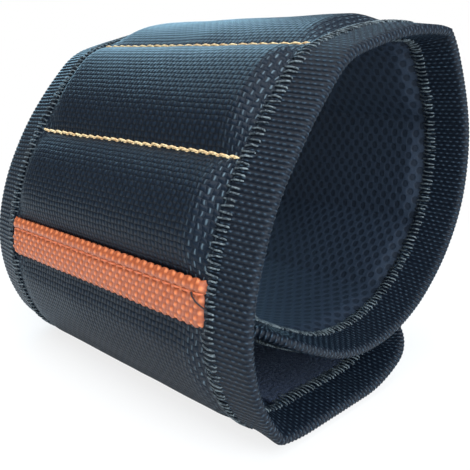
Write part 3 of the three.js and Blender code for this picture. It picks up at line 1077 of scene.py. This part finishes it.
def strip_border(s, y):
    """The yarns stand out a little at the strip's two long edges."""
    run = s - FLAP_END
    yarn = YARN_END * math.cos(math.pi * y / WEAVE_PITCH)
    low = 1.0 - smooth(0.0, YARN_END_RUN, run - STRIP_RUN[0])
    high = 1.0 - smooth(0.0, YARN_END_RUN, STRIP_RUN[1] - run)
    return yarn * (FOLDED_YARN_SHARE * high - low)


def seam_stitch(number):
    """One stitch along the hem, out of the cloth and back into it."""
    s = STRIP_LAST - HEM
    start = -SEAM_HALF_LENGTH + number * 2.0 * SEAM_HALF_LENGTH / SEAM_STITCHES
    points = []
    for share, lift in SEAM_BOW:
        y = start + share * SEAM_STITCH
        points.append(place(s, y, strip_height(s, y) + lift))
    return points


def make_strip():
    strip = cloth_sheet(
        "woven_strip", STRIP_FIRST, STRIP_LAST, STRIP_HALF_LENGTH, STRIP_STEP,
        strip_height, STRIP_CLOTH, STRIP_THICKNESS, strip_relief, strip_border,
    )
    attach(strip, "cuff_left")
    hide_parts("orange_strip")
    stitches = [seam_stitch(number) for number in range(SEAM_STITCHES)]
    seam = thread_piece("strip_seam", stitches, SEAM_RADIUS, ORANGE_THREAD)
    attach(seam, "cuff_left")
    tail = [place(STRIP_LAST - below, y, STRIP_FACE + lift) for below, y, lift in THREAD_END]
    thread_end = thread_piece("strip_thread_end", [tail], THREAD_END_RADIUS, DARK_THREAD)
    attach(thread_end, "cuff_left")


# Thread lines

LINE_HALF_LENGTH = 34.2
LINE_STRANDS = 3
LINE_STRAND_RADIUS = 0.16
LINE_COIL = 0.2
LINE_TWIST = 3.0
LINE_STEPS = 12
LINE_OVERLAP = 1.04
LINE_LIFT = 0.4
LINE_BOW = 0.6
LINE_SINK = 0.1
LINE_SLANT = 0.35
# How far a line wavers, over what length, and its places in the noise
LINE_WAVER = 0.3
LINE_WAVER_SIZE = 9.0
LINE_NUMBER_SEED = 2.3
LINE_SEED = 1.1


def line_strand(seam, start, strand):
    """One of a stitch's twisted strands, which rises out of the cloth and dips back into it."""
    points = []
    for step in range(LINE_STEPS + 1):
        part = step / LINE_STEPS
        turn = 2.0 * math.pi * (strand / LINE_STRANDS + part * LINE_STITCH / LINE_TWIST)
        lift = LINE_LIFT * math.sin(math.pi * part) ** LINE_BOW
        slant = LINE_SLANT * (part - 0.5)
        points.append(place(
            seam + slant + LINE_COIL * math.cos(turn),
            start + part * LINE_STITCH * LINE_OVERLAP,
            WEB - LINE_SINK + lift + LINE_COIL * math.sin(turn),
        ))
    return points


def make_thread_lines():
    """A line of thick stitches at the end of each column."""
    count = round(2.0 * LINE_HALF_LENGTH / LINE_STITCH)
    for number, name in enumerate(COLUMNS, start=1):
        strands = []
        for stitch in range(count):
            start = -LINE_HALF_LENGTH + 2.0 * LINE_HALF_LENGTH * stitch / count
            spot = Vector((start / LINE_WAVER_SIZE, number * LINE_NUMBER_SEED, LINE_SEED))
            seam = SPANS[name][1] + LINE_WAVER * noise.noise(spot)
            strands += [line_strand(seam, start, strand) for strand in range(LINE_STRANDS)]
        line = thread_piece(f"thread_line_{number}", strands, LINE_STRAND_RADIUS, TAN_THREAD)
        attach(line, name)
        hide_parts(f"stitch_line_{number}")


# Magnets

MAGNETS_IN_COLUMN = 3


def finish_magnets():
    """The magnets keep their solids' shapes."""
    for name in COLUMNS:
        for number in range(1, MAGNETS_IN_COLUMN + 1):
            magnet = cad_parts[f"{name}_magnet_{number}"]
            magnet.data.materials.clear()
            magnet.data.materials.append(PLATING)


make_covers()
make_linings()
make_hook_panel()
make_loop_panel()
make_edges()
make_strip()
make_thread_lines()
finish_magnets()


# Camera, floor and light, in metres and degrees

CAMERA_SPOT = (-0.11408, -0.11399, 0.0738)
CAMERA_PITCH = 15.29
CAMERA_TURN = -45.68
CAMERA_LENS = 49.64
CAMERA_SENSOR = 36.0
CAMERA_NEAR = 0.005
FLOOR_HALF_WIDTH = 3.0
FLOOR_GREY = (0.9, 0.9, 0.9, 1.0)
# The shadow shows less and less between these distances from the middle
SHADOW_FADE = (0.06, 0.2)
SHADOW_WHITE = (0.8, 1.0)
SKY_COLOUR = (0.9, 0.95, 1.0, 1.0)
SKY_STRENGTH = 0.22
# Each lamp's name, place, target, size, power and colour
LAMPS = (
    ("top_light", (-0.12, 0.0, 0.55), (0.0, 0.0, 0.04), 0.5, 3.1, (0.93, 0.97, 1.0)),
    ("back_light", (0.33, 0.6, 0.38), (0.0, 0.0, 0.06), 0.5, 4.4, (0.42, 0.76, 1.0)),
    ("front_fill", (-0.45, -0.6, 0.3), (0.0, 0.0, 0.04), 0.6, 0.5, (0.94, 0.97, 1.0)),
    ("mouth_fill", (-0.12, -0.66, 0.36), (0.0, 0.0, 0.03), 0.8, 11.0, (0.84, 0.93, 1.0)),
)


def make_camera():
    data = bpy.data.cameras.new("photo_view")
    data.lens = CAMERA_LENS
    data.sensor_width = CAMERA_SENSOR
    data.clip_start = CAMERA_NEAR
    camera = bpy.data.objects.new("photo_view", data)
    camera.location = CAMERA_SPOT
    camera.rotation_euler = (math.radians(90.0 - CAMERA_PITCH), 0.0, math.radians(CAMERA_TURN))
    bpy.context.scene.collection.objects.link(camera)
    bpy.context.scene.camera = camera


def white_to_camera(tree, surface, share):
    """White for rays that come from the camera, and the plain surface for the rest."""
    seen = node(tree, "LightPath").outputs["Is Camera Ray"]
    glow = node(tree, "Emission", {"Color": WHITE, "Strength": 1.0})
    factor = calc(tree, "MULTIPLY", seen, share)
    return node(tree, "MixShader", {0: factor, 1: surface, 2: glow.outputs[0]}).outputs[0]


def floor_material():
    """Pure white but for the shadow, which fades out at some distance."""
    material = bpy.data.materials.new("pale_floor")
    material.use_nodes = True
    tree = material.node_tree
    tree.nodes.clear()
    matt = node(tree, "BsdfDiffuse", {"Color": FLOOR_GREY})
    away = vector_length(tree, object_place(tree))
    limits = {1: SHADOW_FADE[0], 2: SHADOW_FADE[1], 3: SHADOW_WHITE[0], 4: SHADOW_WHITE[1]}
    share = node(tree, "MapRange", {"Value": away, **limits}, interpolation_type="SMOOTHSTEP")
    node(tree, "OutputMaterial", {"Surface": white_to_camera(tree, matt.outputs[0], share.outputs[0])})
    return material


def make_floor():
    bm = bmesh.new()
    bmesh.ops.create_grid(bm, x_segments=1, y_segments=1, size=FLOOR_HALF_WIDTH)
    mesh = bpy.data.meshes.new("floor")
    bm.to_mesh(mesh)
    bm.free()
    floor = add_piece("floor", mesh, floor_material())


def make_light():
    world = bpy.data.worlds.new("studio")
    world.use_nodes = True
    tree = world.node_tree
    tree.nodes.clear()
    sky = node(tree, "Background", {"Color": SKY_COLOUR, "Strength": SKY_STRENGTH})
    node(tree, "OutputWorld", {"Surface": white_to_camera(tree, sky.outputs[0], 1.0)})
    bpy.context.scene.world = world
    for name, spot, target, size, power, colour in LAMPS:
        data = bpy.data.lights.new(name, "AREA")
        data.size = size
        data.energy = power
        data.color = colour
        lamp = bpy.data.objects.new(name, data)
        lamp.location = spot
        way = Vector(target) - Vector(spot)
        lamp.rotation_euler = way.to_track_quat("-Z", "Y").to_euler()
        bpy.context.scene.collection.objects.link(lamp)


make_camera()
make_floor()
make_light()
bpy.context.scene.view_settings.view_transform = "Standard"
